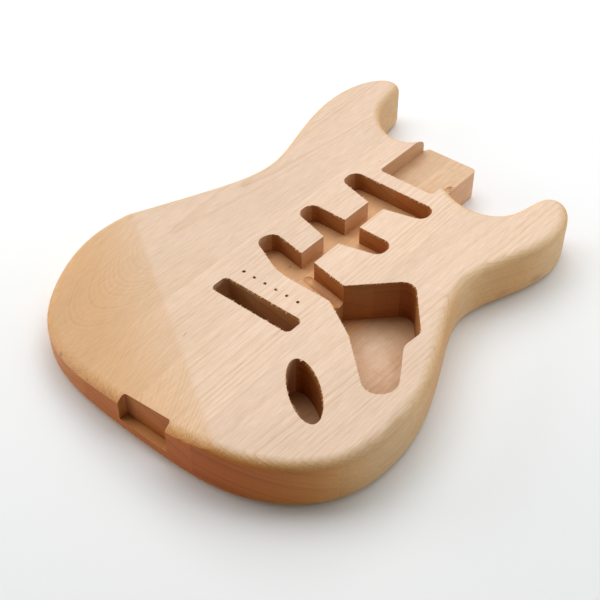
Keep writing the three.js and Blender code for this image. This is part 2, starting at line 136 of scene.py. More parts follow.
class WoodColours(bpy.types.PropertyGroup):
    """Colours of the raw wood, and how deep they turn"""

    early: bpy.props.FloatVectorProperty(
        name="Early wood",
        description="Pale cream of the wood grown in spring",
        default=linear("#eed2bc"),
        subtype="COLOR",
    )
    late: bpy.props.FloatVectorProperty(
        name="Late wood",
        description="Pinkish tan of the line that ends each year's growth",
        default=linear("#cfa986"),
        subtype="COLOR",
    )
    deepening: bpy.props.FloatProperty(
        name="End grain deepening",
        description="How many steps of stain deeper the wood is where its fibres are cut square across",
        default=3.9,
        min=0,
    )
    stain: bpy.props.FloatVectorProperty(
        name="Stain",
        description="Golden brown that each step of depth multiplies the wood by",
        default=linear("#efd5b2"),
        subtype="COLOR",
    )
    sanded: bpy.props.FloatVectorProperty(
        name="Sanded sides",
        description="Golden tint that the sanded wood takes on as it turns down to the rim",
        default=linear("#fff9dd"),
        subtype="COLOR",
    )


# ---------------------------------------------------------------- wood

# Growth of each board: pith in the drawing's millimetres (x, height over the top face), turn of the
# pith about z and tilt out of the top face in degrees, ring width in millimetres, wave of the rings
# in millimetres, strength of the late wood and of the lines along the board, tone, how deep the end
# grain turns against the other boards, and a seed
GROWTH = {
    "bass_board": dict(
        pith=(-104, 78), turn=1.0, tilt=0.6, ring=1.0, wave=1.6,
        late=0.75, line=0.6, tone=0.97, ends=0.75, seed=3.1,
    ),
    "centre_bass_board": dict(
        pith=(-112, -260), turn=0.3, tilt=0.15, ring=1.2, wave=1.2,
        late=0.7, line=1.0, tone=1.02, ends=0.9, seed=7.7,
    ),
    "centre_treble_board": dict(
        pith=(-40, -280), turn=-0.4, tilt=0.1, ring=1.2, wave=1.2,
        late=1.1, line=1.1, tone=1.08, ends=1.0, seed=1.9,
    ),
    "treble_board": dict(
        pith=(62, -240), turn=0.8, tilt=-0.3, ring=1.2, wave=1.8,
        late=1.05, line=0.75, tone=1.05, ends=1.08, seed=5.4,
    ),
    "treble_edge_strip": dict(
        pith=(80, -120), turn=0.2, tilt=0.2, ring=1.3, wave=1.5,
        late=1.0, line=0.9, tone=1.0, ends=1.15, seed=9.2,
    ),
}

# Small flaws of the boards: place in the drawing's millimetres, reach along x, y and z, turn about z
# in degrees, and how much darker the wood is there
FLAWS = {
    "bass_board": (
        ((-86, -144, -18), (3.0, 4.5, 5.0), 20, 0.7),
        ((-75, 220, 0), (0.5, 9, 1), 0, 0.35),
    ),
    "centre_bass_board": (
        ((-13.5, -81.0, 0), (0.5, 4.0, 1), 12, 0.6),
        ((-36.4, 189.4, 0), (0.7, 0.9, 1), 0, 0.7),
        ((-52, 114, 0), (0.35, 22, 1), 0, 0.3),
        ((-16.8, 42.8, -17.3), (1.6, 1.6, 1), 0, 0.6),
    ),
    "centre_treble_board": (((59.7, -92, 0), (0.35, 44, 1), 0, 0.4),),
    "treble_board": (
        ((120, 149, -35), (9, 13, 5), 32, 0.3),
        ((134, 181, -35), (9, 13, 5), 32, 0.3),
    ),
    "treble_edge_strip": (),
}

# How much the fibres fray the edge of a flaw, in its own reaches
FLAW_FRAY = 1.2

# Wave of the grain, and the other noises of the wood: size of a cell along x, y and z in millimetres,
# detail, roughness, and shift against the board's seed. Fibres and streaks run along the board. Alder's
# fibres and pores are about a tenth of a millimetre across, too fine to show, so they are drawn a
# millimetre across.
WAVE_CELL, WAVE_DETAIL, WAVE_ROUGHNESS = (95, 240, 95), 2.0, 0.4
NOISES = {
    "fibre": ((1.0, 16, 2.5), 3.0, 0.65, 11),
    "streak": ((3.4, 170, 15), 2.0, 0.55, 23),
    "cloud": ((38, 90, 38), 2.0, 0.5, 31),
    "blotch": ((7, 9, 7), 3.0, 0.6, 43),
    "torn": ((0.9, 2.6, 2.6), 2.0, 0.7, 57),
}

# Distance that a seed of 1 moves the noises along x, y and z, in cells
SEED_STEPS = (37, 91, 53)

# Darkness of a ring at each share of its year, how fast good and bad years follow each other, how
# rare a strong ring is, and the strength of the strongest and of the faintest
RING_LINE = ((0.0, 0.25), (0.12, 0.0), (0.5, 0.08), (0.93, 1.0))
YEARS_STEP = 0.21
RARE_RING = 1.6
STRONG_RING = 1.9
FAINT_RING = 0.12

# Share of rings, fibres and streaks in the tone between early and late wood, the tone where none of
# them shows, and the power of the depth that they fade with
RING_SHARE = 0.34
FIBRE_SHARE = 1.3
STREAK_SHARE = 0.42
MEAN_TONE = 0.3
FADE_POWER = 0.65

# Steps of stain: for a slope, of painted shade for a closed corner, and how many fewer an end has where
# it rounds over to the flat. How far a wall closes a corner in for the painted shade, in metres
SLOPE_DEPTH = 0.2
PAINTED_DEPTH_IN_CORNERS = 1.3
ROUNDED_END = 0.6
CORNER_REACH = 30 * MM

# Shade: of the clouds, painted shade of a closed corner, of torn ends, and of end grain between and on
# its rings
CLOUD_SHADE, CLOUD_BASE = 0.16, 0.92
PAINTED_SHADE_IN_CORNERS = 0.3
TORN_SHADE, TORN_BASE = 4.0, 0.97
END_LIGHT, END_RING_SHADE = 0.14, 0.7

# Way down the forearm bevel and a point of its ridge, how far its first step of stain runs out on both
# sides of the ridge and how deep it is, and how far down the rest is reached and how deep that is
BEVEL_WAY = (-0.5225, -0.8526)
BEVEL_RIDGE = (-145.2, -8)
BEVEL_BLEND, BEVEL_STEP = 3, 0.25
BEVEL_REACH, BEVEL_DEPTH = 55, 0.45

# Depth of the control cavity and the place where the cutter rested on its floor, the radius and half
# width of the arc that it rubbed, how much the blotches break it up, and its shade
CONTROL_DEPTH = 38
CUTTER_REST = (100.8 + LAYOUT_X, 17 + LAYOUT_Y, TOP - CONTROL_DEPTH)
CUTTER_RADIUS = 9
ARC_WIDTH = 0.7
ARC_BLOTCH = 1.8
ARC_SHADE = 0.14

# What each face of a board says about the tool that made it, and the painted light and shade that it is
# given
MARKS = ("cut_and_painted_shading", "blotches_and_painted_shade", "painted_light_and_shade", "skin")


def growth_rings(tree, waved, growth):
    """Darkness of the growth rings: the distance from the pith divided by the ring width is the year
    and the share of it that has passed. Each ring darkens slowly and ends in a line, and its strength
    is a random number to a power, times the slow run of good and bad years."""
    turn = Euler((math.radians(growth["tilt"]), 0, math.radians(growth["turn"])))
    pith = Vector((growth["pith"][0] + LAYOUT_X, 0, growth["pith"][1] + TOP))
    start = -(turn.to_matrix() @ pith)
    at = add(tree, "Mapping", sockets={"Vector": waved, "Location": start, "Rotation": turn})
    flat = add(tree, "VectorMath", at, (1, 0, 1), operation="MULTIPLY")
    radius = add(tree, "VectorMath", flat, operation="LENGTH").outputs["Value"]
    rings = add(tree, "Math", radius, growth["ring"], operation="DIVIDE")
    year = add(tree, "Math", rings, operation="FLOOR")
    share = add(tree, "Math", rings, operation="FRACT")
    line = add(tree, "ValToRGB", share)
    line.color_ramp.interpolation = "EASE"
    for i, (where, dark) in enumerate(RING_LINE):
        stop = line.color_ramp.elements[i] if i < 2 else line.color_ramp.elements.new(where)
        stop.position = where
        stop.color = (dark, dark, dark, 1)
    chance = add(tree, "TexWhiteNoise", sockets={"W": year}, noise_dimensions="1D")
    strength = add(tree, "Math", chance, RARE_RING, operation="POWER")
    run = add(tree, "Math", year, YEARS_STEP, operation="MULTIPLY")
    years = add(tree, "TexNoise", sockets={"W": run, "Detail": 1.0}, noise_dimensions="1D")
    strength = add(tree, "Math", strength, years, operation="MULTIPLY")
    strength = add(tree, "Math", strength, STRONG_RING, FAINT_RING, operation="MULTIPLY_ADD")
    return add(tree, "Math", line, strength, operation="MULTIPLY")


def bevel_depth(tree, mm):
    """Steps of stain on the forearm bevel: the distance down from its ridge gives a small smooth step
    at the ridge and a slow smooth rise below it."""
    ridge = -sum(w * (p + o) for w, p, o in zip(BEVEL_WAY, BEVEL_RIDGE, (LAYOUT_X, LAYOUT_Y)))
    fall = add(tree, "VectorMath", mm, (*BEVEL_WAY, 0), operation="DOT_PRODUCT")
    down = add(tree, "Math", fall.outputs["Value"], ridge, operation="ADD")
    span = {"Value": down, "From Min": -BEVEL_BLEND, "From Max": BEVEL_BLEND, "To Max": BEVEL_STEP}
    step = add(tree, "MapRange", sockets=span, interpolation_type="SMOOTHSTEP")
    span = {"Value": down, "From Max": BEVEL_REACH, "To Max": BEVEL_DEPTH}
    slow = add(tree, "MapRange", sockets=span, interpolation_type="SMOOTHSTEP")
    return add(tree, "Math", step, slow, operation="ADD")


def flaw_shades(tree, mm, fibre, flaws):
    """Shade of each flaw: the distance from its place is measured in its own reaches, along its own
    turned axes, and frayed by the fibres. The wood darkens as the distance falls under 1."""
    shades = []
    for place, reach, turned, dark in flaws:
        angle = math.radians(turned)
        centre = Vector([p + o for p, o in zip(place, LAYOUT)])
        scale = Vector([1 / length for length in reach])
        turned_centre = Euler((0, 0, angle)).to_matrix().transposed() @ centre
        start = -Vector([s * c for s, c in zip(scale, turned_centre)])
        sockets = {"Vector": mm, "Angle": -angle}
        near = add(tree, "VectorRotate", sockets=sockets, rotation_type="Z_AXIS")
        near = add(tree, "Mapping", sockets={"Vector": near, "Scale": scale, "Location": start})
        far = add(tree, "VectorMath", near, operation="LENGTH").outputs["Value"]
        fray = add(tree, "Math", fibre, FLAW_FRAY, -FLAW_FRAY / 2, operation="MULTIPLY_ADD")
        far = add(tree, "Math", far, fray, operation="ADD")
        flaw = add(tree, "Math", 1.0, far, operation="SUBTRACT", use_clamp=True)
        shades.append(add(tree, "Math", flaw, -dark, 1.0, operation="MULTIPLY_ADD"))
    return shades


def cutter_arc(tree, mm, blotch):
    """Arc on the control cavity's floor, 1 on a circle round the cutter's rest and 0 off it: the
    distance from the circle divided by the arc's width is taken from the blotches."""
    away = add(tree, "VectorMath", mm, CUTTER_REST, operation="DISTANCE").outputs["Value"]
    off = add(tree, "Math", away, CUTTER_RADIUS, operation="SUBTRACT")
    off = add(tree, "Math", off, operation="ABSOLUTE")
    broken = add(tree, "Math", blotch, ARC_BLOTCH, operation="MULTIPLY")
    return add(tree, "Math", off, -1 / ARC_WIDTH, broken, operation="MULTIPLY_ADD", use_clamp=True)


def wood(board, colours):
    """Alder, planed, routed and left raw: pale and dull with pinkish lines on the flat, golden where it
    is sanded round, and brown where its fibres are cut across and drink the light. The colour is the
    grain, times the stain to the power of the depth, times the gold of a slope, times the shade. The
    depth and the shade also hold painted shade in closed corners, and painted light and shade on chosen
    faces."""
    growth = GROWTH[board]
    material = bpy.data.materials.new("planed raw alder " + board)
    material.use_nodes = True
    tree = material.node_tree
    tree.nodes.clear()
    place = add(tree, "TexCoord")
    normal = add(tree, "SeparateXYZ", place.outputs["Normal"])
    mm = add(tree, "Mapping", sockets={"Vector": place.outputs["Object"], "Scale": (1 / MM,) * 3})
    marks = [add(tree, "Attribute", attribute_type="GEOMETRY", attribute_name=key) for key in MARKS]
    cut_and_painted_shading, blotches_and_painted_shade, painted_light_and_shade, skin = (mark.outputs["Fac"] for mark in marks)

    # Wave of the pith, the rings and the streaks
    seed = [growth["seed"] * step for step in SEED_STEPS]
    scale = [1 / size for size in WAVE_CELL]
    at = add(tree, "Mapping", sockets={"Vector": mm, "Scale": scale, "Location": seed})
    sockets = {"Vector": at, "Scale": 1.0, "Detail": WAVE_DETAIL, "Roughness": WAVE_ROUGHNESS}
    wave = add(tree, "TexNoise", sockets=sockets).outputs["Color"]
    swing = add(tree, "VectorMath", wave, (0.5,) * 3, operation="SUBTRACT")
    swing = add(tree, "VectorMath", swing, (2 * growth["wave"],) * 3, operation="MULTIPLY")
    waved = add(tree, "VectorMath", mm, swing, operation="ADD")
    ring = growth_rings(tree, waved, growth)
    noises = []
    for name, (cell, detail, roughness, shift) in NOISES.items():
        sockets = {"Vector": waved if name == "streak" else mm, "Scale": [1 / size for size in cell]}
        at = add(tree, "Mapping", sockets={**sockets, "Location": [s + shift for s in seed]})
        sockets = {"Vector": at, "Scale": 1.0, "Detail": detail, "Roughness": roughness}
        noises.append(add(tree, "TexNoise", sockets=sockets))
    fibre, streak, cloud, blotch, torn = noises

    # Across is 0 on the flat of the board and 1 on its ends, and level is 0 on a wall and 1 on a floor
    across, level = (
        add(tree, "Math", part, part, operation="MULTIPLY")
        for part in (normal.outputs["Y"], normal.outputs["Z"])
    )
    slope = add(tree, "Math", 1.0, level, operation="SUBTRACT", use_clamp=True)
    slope = add(tree, "Math", slope, operation="SQRT")

    # Depth: light goes deeper into fibres that are cut across and comes back browner. The cut mark adds
    # steps that are partly this and partly painted shade, and a closed corner of a recess gets more
    # steps of painted shade. The flat of the top has a depth of 1.
    flat_skin = add(tree, "Math", level, skin, operation="MULTIPLY")
    cut_and_painted_shading = add(tree, "Math", bevel_depth(tree, mm), flat_skin, cut_and_painted_shading, operation="MULTIPLY_ADD")
    # Painted shade: where the ambient occlusion finds walls close by, the colour deepens and darkens,
    # as far as the recess mark allows
    sky = add(tree, "AmbientOcclusion", sockets={"Distance": CORNER_REACH}, samples=8).outputs["AO"]
    painted_corner_shade = add(tree, "Math", 1.0, sky, operation="SUBTRACT", use_clamp=True)
    painted_corner_shade = add(tree, "Math", painted_corner_shade, blotches_and_painted_shade, operation="MULTIPLY")
    square = add(tree, "Math", level, -ROUNDED_END, 1.0, operation="MULTIPLY_ADD")
    square = add(tree, "Math", across, square, operation="MULTIPLY")
    deepening = colours.deepening * growth["ends"]
    depth = add(tree, "Math", square, deepening, 1.0, operation="MULTIPLY_ADD")
    cut_and_painted_shading = add(tree, "Math", slope, SLOPE_DEPTH, cut_and_painted_shading, operation="MULTIPLY_ADD")
    depth = add(tree, "Math", depth, cut_and_painted_shading, operation="ADD")
    depth = add(tree, "Math", painted_corner_shade, PAINTED_DEPTH_IN_CORNERS, depth, operation="MULTIPLY_ADD")

    # Tone: rings, fibres, streaks and, in a recess, the cutter's blotches all fade with the depth
    tone = add(tree, "Math", ring, RING_SHARE * growth["late"], operation="MULTIPLY")
    blotched = add(tree, "Math", blotch, 0.5, operation="SUBTRACT")
    tone = add(tree, "Math", blotched, blotches_and_painted_shade, tone, operation="MULTIPLY_ADD")
    streak_share = STREAK_SHARE * growth["line"]
    for lines, share in ((fibre, FIBRE_SHARE), (streak, streak_share)):
        lines = add(tree, "Math", lines, share, -share / 2, operation="MULTIPLY_ADD")
        tone = add(tree, "Math", tone, lines, operation="ADD")
    fade = add(tree, "Math", depth, FADE_POWER, operation="POWER")
    tone = add(tree, "Math", tone, fade, operation="DIVIDE")
    tone = add(tree, "Math", tone, MEAN_TONE, operation="ADD", use_clamp=True)

    # Colour: sockets 0, 6 and 7 of a mix are its factor and its two colours, and output 2 is its colour
    sockets = {0: tone, 6: (*colours.early, 1), 7: (*colours.late, 1)}
    grain = add(tree, "Mix", sockets=sockets, data_type="RGBA").outputs[2]
    steps = add(tree, "Math", depth, 1.0, operation="SUBTRACT")
    stain = add(tree, "Gamma", (*colours.stain, 1), steps)
    colour = add(tree, "VectorMath", grain, stain, operation="MULTIPLY")
    rounded = add(tree, "Math", slope, skin, operation="MULTIPLY")
    sockets = {0: rounded, 6: (1, 1, 1, 1), 7: (*colours.sanded, 1)}
    gold = add(tree, "Mix", sockets=sockets, data_type="RGBA").outputs[2]
    colour = add(tree, "VectorMath", colour, gold, operation="MULTIPLY")

    # Shade: the torn ends of a rounded edge catch light and shade, and the late wood of each year
    # drinks more light than the rest where its fibres are cut square. A closed corner gets painted
    # shade, and the dull mark paints some faces lighter and others darker.
    turning = add(tree, "Math", across, level, operation="MULTIPLY")
    torn = add(tree, "Math", torn, 0.5, operation="SUBTRACT")
    torn = add(tree, "Math", torn, turning, operation="MULTIPLY")
    ends = add(tree, "Math", ring, -END_RING_SHADE, END_LIGHT, operation="MULTIPLY_ADD")
    ends = add(tree, "Math", across, ends, operation="MULTIPLY")
    arc = add(tree, "Math", blotches_and_painted_shade, level, operation="MULTIPLY")
    arc = add(tree, "Math", cutter_arc(tree, mm, blotch), arc, operation="MULTIPLY")
    factors = (
        add(tree, "Math", painted_corner_shade, -PAINTED_SHADE_IN_CORNERS, 1.0, operation="MULTIPLY_ADD"),
        add(tree, "Math", torn, TORN_SHADE, TORN_BASE, operation="MULTIPLY_ADD"),
        add(tree, "Math", 1.0, ends, operation="ADD"),
        add(tree, "Math", 1.0, painted_light_and_shade, operation="SUBTRACT"),
        *flaw_shades(tree, mm, fibre, FLAWS[board]),
        add(tree, "Math", arc, -ARC_SHADE, 1.0, operation="MULTIPLY_ADD"),
    )
    clouds = [share * growth["tone"] for share in (CLOUD_SHADE, CLOUD_BASE)]
    shade = add(tree, "Math", cloud, *clouds, operation="MULTIPLY_ADD")
    for factor in factors:
        shade = add(tree, "Math", shade, factor, operation="MULTIPLY")
    colour = add(tree, "VectorMath", colour, sockets={"Scale": shade}, operation="SCALE")

    bump = add(tree, "Bump", sockets={"Height": fibre, "Distance": 0.05 * MM, "Strength": 0.5})
    sockets = {"Base Color": colour, "Roughness": 0.5, "IOR": 1.5, "Normal": bump}
    shader = add(tree, "BsdfPrincipled", sockets={**sockets, "Specular IOR Level": 0.3})
    add(tree, "OutputMaterial", shader)
    return material


def matt(name, colour, roughness, specular):
    """Material of one colour with hardly any gloss."""
    material = bpy.data.materials.new(name)
    material.use_nodes = True
    shader = material.node_tree.nodes["Principled BSDF"]
    shader.inputs["Base Color"].default_value = (*linear(colour), 1)
    shader.inputs["Roughness"].default_value = roughness
    shader.inputs["Specular IOR Level"].default_value = specular
    return material


# ---------------------------------------------------------------- boards

# Step in which places are counted when a board's corners are merged, in metres
WELD = 0.002 * MM

# Length of a normal's upward or sideways part from which a face counts as exactly flat, or as a floor
# or a side, and how near a plane the middle of a face that lies on it is, in millimetres
FLAT = 0.99
FACING = 0.7
ON_PLANE = 0.05

# Where the routed faces and the joints are, in the drawing's millimetres
HEEL_WALL_Y = 195
HEEL_HALF_WIDTH = 29
HEEL_TOP = -15.7
POCKET_END_Y = 174
NOTCH_Y = -143
NOTCH_SIDE = 0.2
SLOT_HALF = 43
SLOT_NEAR_Y = -6
GLUE_LINES = (-52, 0, 59.7, 150)
EDGE_X = 142
CONTROL_X = 62
CONTROL_WALL_X = 18
CONTROL_NEAR_Y = -10
CONTROL_FAR_Y = 85

# Value of each mark on each kind of face. A face of several kinds takes the first of them in the table.
# Cut is in steps of stain, partly the browner colour of routed wood and partly painted shade and
# painted light for each kind of face. Recess is how much painted shade a closed corner gets, deepening
# and darkening the colour, and how strongly the cutter's blotches and arc show. Dull is painted shade,
# the share of light that is taken away, and painted light where it is below 0.
CUT_AND_PAINTED_SHADING = {
    "notch_side": 1.7,
    "glued": 3,
    "heel": 0.4,
    "skin": 0,
    "notch_floor": 1.7,
    "notch": -0.8,
    "pocket_floor": 0.4,
    "control_floor": 0.2,
    "floor": 0.75,
}
BLOTCHES_AND_PAINTED_SHADE = {"heel": 0, "skin": 0, "slot": 0.6, "treble_facing": 0.2, "control_floor": 1.0, "floor": 0.7}
PAINTED_LIGHT_AND_SHADE = {
    "heel": 0,
    "skin": 0,
    "pocket_floor": 0.06,
    "pickup_floor": -0.18,
    "floor": -0.06,
    "control_wall": 0.2,
}

# Cut of the other walls, and what is added to it on one that is square across the fibres. What is added
# there in the slot as well, as painted light, and on the control cavity's walls, as painted shade.
# Recess of the other walls, which sets their painted shade in closed corners. Painted shade on end
# grain walls, and painted light on a wall that faces treble
WALL_CUT = 0.3
END_CUT = -2.3
SLOT_END_PAINTED_LIGHT = -0.7
CONTROL_WALL_PAINTED_SHADE = 0.7
WALL_BLOTCHES_AND_PAINTED_SHADE = 1
END_WALL_PAINTED_SHADE = 0.13
TREBLE_FACING_PAINTED_LIGHT = -0.06


def read(items, key, kind=np.float32):
    """Triple that each item of a mesh holds under this key, one row for each."""
    values = np.empty(3 * len(items), kind)
    items.foreach_get(key, values)
    return values.reshape(-1, 3)


def merged_mesh(node, name):
    """Copy of a board's triangles whose corners are one where they share a place: places are counted
    in steps of the weld distance, each distinct one is kept once and the triangles look theirs up."""
    source = node.data
    source.calc_loop_triangles()
    corners = read(source.loop_triangles, "vertices", np.int32)
    places = read(source.vertices, "co")
    steps = np.round(places / WELD).astype(np.int64)
    _, first, lookup = np.unique(steps, axis=0, return_index=True, return_inverse=True)
    faces = lookup.ravel()[corners]
    whole = (faces != np.roll(faces, -1, axis=1)).all(1)
    mesh = bpy.data.meshes.new(name)
    mesh.from_pydata(places[first], [], faces[whole])
    return mesh


def shared_edges(faces):
    """Edges that two faces share, as two corners, and the two faces: every face's edges are sorted by
    their corners, and neighbours that are equal then are one edge."""
    edges = np.sort(np.concatenate([faces[:, [0, 1]], faces[:, [1, 2]], faces[:, [2, 0]]]), axis=1)
    owner = np.tile(np.arange(len(faces)), 3)
    order = np.lexsort((edges[:, 1], edges[:, 0]))
    edges, owner = edges[order], owner[order]
    same = np.flatnonzero((edges[1:] == edges[:-1]).all(1))
    return edges[same], owner[same], owner[same + 1]


def smooth_patches(faces, normals, crease):
    """Number of the patch each face is in: faces whose normals differ by less than the crease pass the
    lower of their numbers to each other over the edge they share, until nothing changes."""
    _, left, right = shared_edges(faces)
    smooth = (normals[left] * normals[right]).sum(1) > math.cos(crease)
    left, right = left[smooth], right[smooth]
    patch = np.arange(len(faces))
    while True:
        low = np.minimum(patch[left], patch[right])
        fresh = patch.copy()
        np.minimum.at(fresh, left, low)
        np.minimum.at(fresh, right, low)
        fresh = fresh[fresh]
        if (fresh == patch).all():
            return patch
        patch = fresh


def tool_marks(mesh, crease):
    """Value of each mark for every face, and which faces are glued. The sanded skin is the patches that
    run smoothly into the top or the back, with the strip's rim. The rest goes by where a face's middle
    is and where the face points, and a wall of the control cavity by the mean place of its patch."""
    normals = read(mesh.polygon_normals, "vector")
    centres = read(mesh.polygons, "center") / MM - LAYOUT
    patch = smooth_patches(read(mesh.polygons, "vertices", np.int32), normals, crease)
    x, y, z = centres.T
    flat = np.abs(normals[:, 2]) > FLAT
    outside = flat & ((z > -ON_PLANE) | (z < ON_PLANE - TOP))
    skin = np.isin(patch, patch[outside]) | (x > EDGE_X)
    level = np.abs(normals[:, 2]) > FACING
    treble_facing = normals[:, 0] > FACING
    heel = (y > HEEL_WALL_Y) & (np.abs(x) < HEEL_HALF_WIDTH) & (z < HEEL_TOP)
    notch = y < NOTCH_Y
    control = level & (x > CONTROL_X)
    slot = (np.abs(x) < SLOT_HALF) & (y < SLOT_NEAR_Y) & (y > NOTCH_Y)
    on_line = np.abs(centres[:, :1] - GLUE_LINES) < ON_PLANE
    glued = on_line.any(1) & (np.abs(normals[:, 0]) > FLAT)
    count = np.bincount(patch, minlength=len(patch))
    mean_x, mean_y = (np.bincount(patch, v, len(patch)) / np.maximum(count, 1) for v in (x, y))
    by_control = (mean_x > CONTROL_WALL_X) & (mean_y > CONTROL_NEAR_Y) & (mean_y < CONTROL_FAR_Y)
    by_control = by_control[patch]
    kinds = {
        "skin": skin,
        "heel": heel,
        "glued": glued,
        "notch": notch,
        "notch_floor": level & notch,
        "notch_side": notch & (normals[:, 0] > NOTCH_SIDE) & ~skin,
        "pocket_floor": level & (y > POCKET_END_Y),
        "pickup_floor": level & ~(notch | control),
        "control_floor": control,
        "control_wall": by_control,
        "floor": level,
        "slot": slot,
        "treble_facing": treble_facing & ~notch,
    }
    # Walls outside the tables: their cut is partly painted shade, with painted light on the slot's end
    # grain, and their dull mark paints end grain walls darker and walls that face treble lighter
    across = normals[:, 1] ** 2
    wall = WALL_CUT + END_CUT * across
    rests = (
        np.where(slot, wall + SLOT_END_PAINTED_LIGHT * across, wall),
        WALL_BLOTCHES_AND_PAINTED_SHADE,
        END_WALL_PAINTED_SHADE * across + TREBLE_FACING_PAINTED_LIGHT * treble_facing,
    )
    cut_and_painted_shading, blotches_and_painted_shade, painted_light_and_shade = (
        np.select([kinds[kind] for kind in table], list(table.values()), rest)
        for table, rest in zip((CUT_AND_PAINTED_SHADING, BLOTCHES_AND_PAINTED_SHADE, PAINTED_LIGHT_AND_SHADE), rests)
    )
    # Painted shade: the walls of the control cavity get a deeper brown
    cut_and_painted_shading[by_control & ~skin & ~level] += CONTROL_WALL_PAINTED_SHADE
    return dict(zip(MARKS, (cut_and_painted_shading, blotches_and_painted_shade, painted_light_and_shade, skin & ~heel))), glued


def dress(context, board):
    """Puts a merged copy with its wood in a board's place. Glued faces stay flat, so that the rims of
    two boards meet without a bend in their normals."""
    crease = context.scene.body_sizes.crease
    mesh = merged_mesh(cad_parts[board], board + "_wood")
    piece = bpy.data.objects.new(board + "_wood", mesh)
    context.scene.collection.objects.link(piece)
    marks, glued = tool_marks(mesh, crease)
    for key, values in marks.items():
        attribute = mesh.attributes.new(key, "FLOAT", "FACE")
        attribute.data.foreach_set("value", values.astype(np.float32))
    mesh.shade_smooth()
    mesh.set_sharp_from_angle(angle=crease)
    mesh.polygons.foreach_set("use_smooth", ~glued)
    weigh = piece.modifiers.new("Even normals", "WEIGHTED_NORMAL")
    weigh.keep_sharp = True
    mesh.materials.append(wood(board, context.scene.wood_colours))
    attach(piece, "root")
    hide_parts(board)
    return {"FINISHED"}


class BODY_OT_bass_board(bpy.types.Operator):
    """Outer board with the long horn and the forearm bevel"""

    bl_idname = "body.bass_board"
    bl_label = "Bass board"

    def execute(self, context):
        return dress(context, "bass_board")


class BODY_OT_centre_bass_board(bpy.types.Operator):
    """Board on the bass side of the centreline"""

    bl_idname = "body.centre_bass_board"
    bl_label = "Centre bass board"

    def execute(self, context):
        return dress(context, "centre_bass_board")


class BODY_OT_centre_treble_board(bpy.types.Operator):
    """Board on the treble side of the centreline"""

    bl_idname = "body.centre_treble_board"
    bl_label = "Centre treble board"

    def execute(self, context):
        return dress(context, "centre_treble_board")


class BODY_OT_treble_board(bpy.types.Operator):
    """Outer board with the short horn and the control cavity"""

    bl_idname = "body.treble_board"
    bl_label = "Treble board"

    def execute(self, context):
        return dress(context, "treble_board")


class BODY_OT_treble_edge_strip(bpy.types.Operator):
    """Thin strip that completes the widest part of the lower bout"""

    bl_idname = "body.treble_edge_strip"
    bl_label = "Treble edge strip"

    def execute(self, context):
        return dress(context, "treble_edge_strip")


# ---------------------------------------------------------------- torn fibres

# Rim of a route: how far under the top it may be in millimetres, the most that its wall leans, and
# the least that its wall faces along the fibres
RIM_DEPTH = 0.1
WALL_LEAN = 0.2
WALL_ACROSS = 0.35

# Slivers: the seed of their random places and sizes, how far they stray and droop for each part of
# their length, the least share of the longest length and the power that makes long ones rare, their
# least width and its spread, how far back and down they are rooted in millimetres, and the share of
# them that is burnt
FRAY_SEED = 7
STRAY = 0.5
DROOP = 0.5
SHORTEST, RARE_LENGTH = 0.2, 3
FRAY_WIDTH, FRAY_WIDTH_SPREAD = 0.3, 0.6
ROOT_BACK = 0.2
ROOT_DOWN = 0.05
BURNT_SHARE = 0.4

# Broken edge of the neck pocket's floor: its box in the drawing's millimetres, how many slivers lie
# in it, the way across them, the least part of their way along x, y and z with its spread, and the
# least of their length and width with its spread
BREAK_LOW = (19.5, 208.5, -15.6)
BREAK_HIGH = (24.5, 216, -15.3)
BREAK_COUNT = 22
BREAK_ACROSS = (-0.6, 0.8, 0)
BREAK_WAYS = ((0.8, 0.3), (0.4, 0.4), (0.1, 0.4))
BREAK_LENGTH, BREAK_LENGTH_SPREAD = 2, 3
BREAK_WIDTH, BREAK_WIDTH_SPREAD = 0.5, 0.9


def rim_points(mesh, spacing, chance):
    """Places along the upper rims of the routes where fibres are cut across, in the mesh's own lengths,
    with the rim's direction and the wall's outward normal. A rim is an edge between a face that looks
    up and a wall whose normal has more than a third of its length along the fibres. The places are
    spread evenly at random over the running length of all the rims."""
    normals = read(mesh.polygon_normals, "vector")
    places = read(mesh.vertices, "co")
    edges, first, second = shared_edges(read(mesh.polygons, "vertices", np.int32))
    top = np.where(normals[first, 2] > normals[second, 2], first, second)
    wall = first + second - top
    upright = np.abs(normals[wall, 2]) < WALL_LEAN
    rim = (normals[top, 2] > FLAT) & upright & (np.abs(normals[wall, 1]) > WALL_ACROSS)
    ends, wall = places[edges[rim]], wall[rim]
    high = (ends[:, :, 2] > (TOP - RIM_DEPTH) * MM).all(1)
    ends, wall = ends[high], wall[high]
    if not len(ends):
        return np.empty((0, 3)), np.empty((0, 3)), np.empty((0, 3))
    run = np.linalg.norm(ends[:, 1] - ends[:, 0], axis=1)
    total = np.cumsum(run)
    at = np.sort(chance.random(int(total[-1] / spacing))) * total[-1]
    which = np.searchsorted(total, at)
    share = ((at - total[which] + run[which]) / run[which])[:, None]
    along = (ends[which, 1] - ends[which, 0]) / run[which][:, None]
    return ends[which, 0] * (1 - share) + ends[which, 1] * share, along, normals[wall[which]]


def slivers(roots, along, way, length, width):
    """Corners and faces of tapering slivers, one four-cornered solid for each root: two corners half a
    width to each side of the root, one as deep below it, and the tip a length away."""
    side = along * width[:, None] / 2
    below = roots - np.array([0, 0, 1]) * width[:, None] / 2
    corners = np.stack([roots - side, roots + side, below, roots + way * length[:, None]], axis=1)
    faces = np.array([(0, 1, 3), (1, 2, 3), (2, 0, 3), (0, 2, 1)])
    every = 4 * np.arange(len(roots))[:, None, None] + faces
    return corners.reshape(-1, 3), every.reshape(-1, 3)


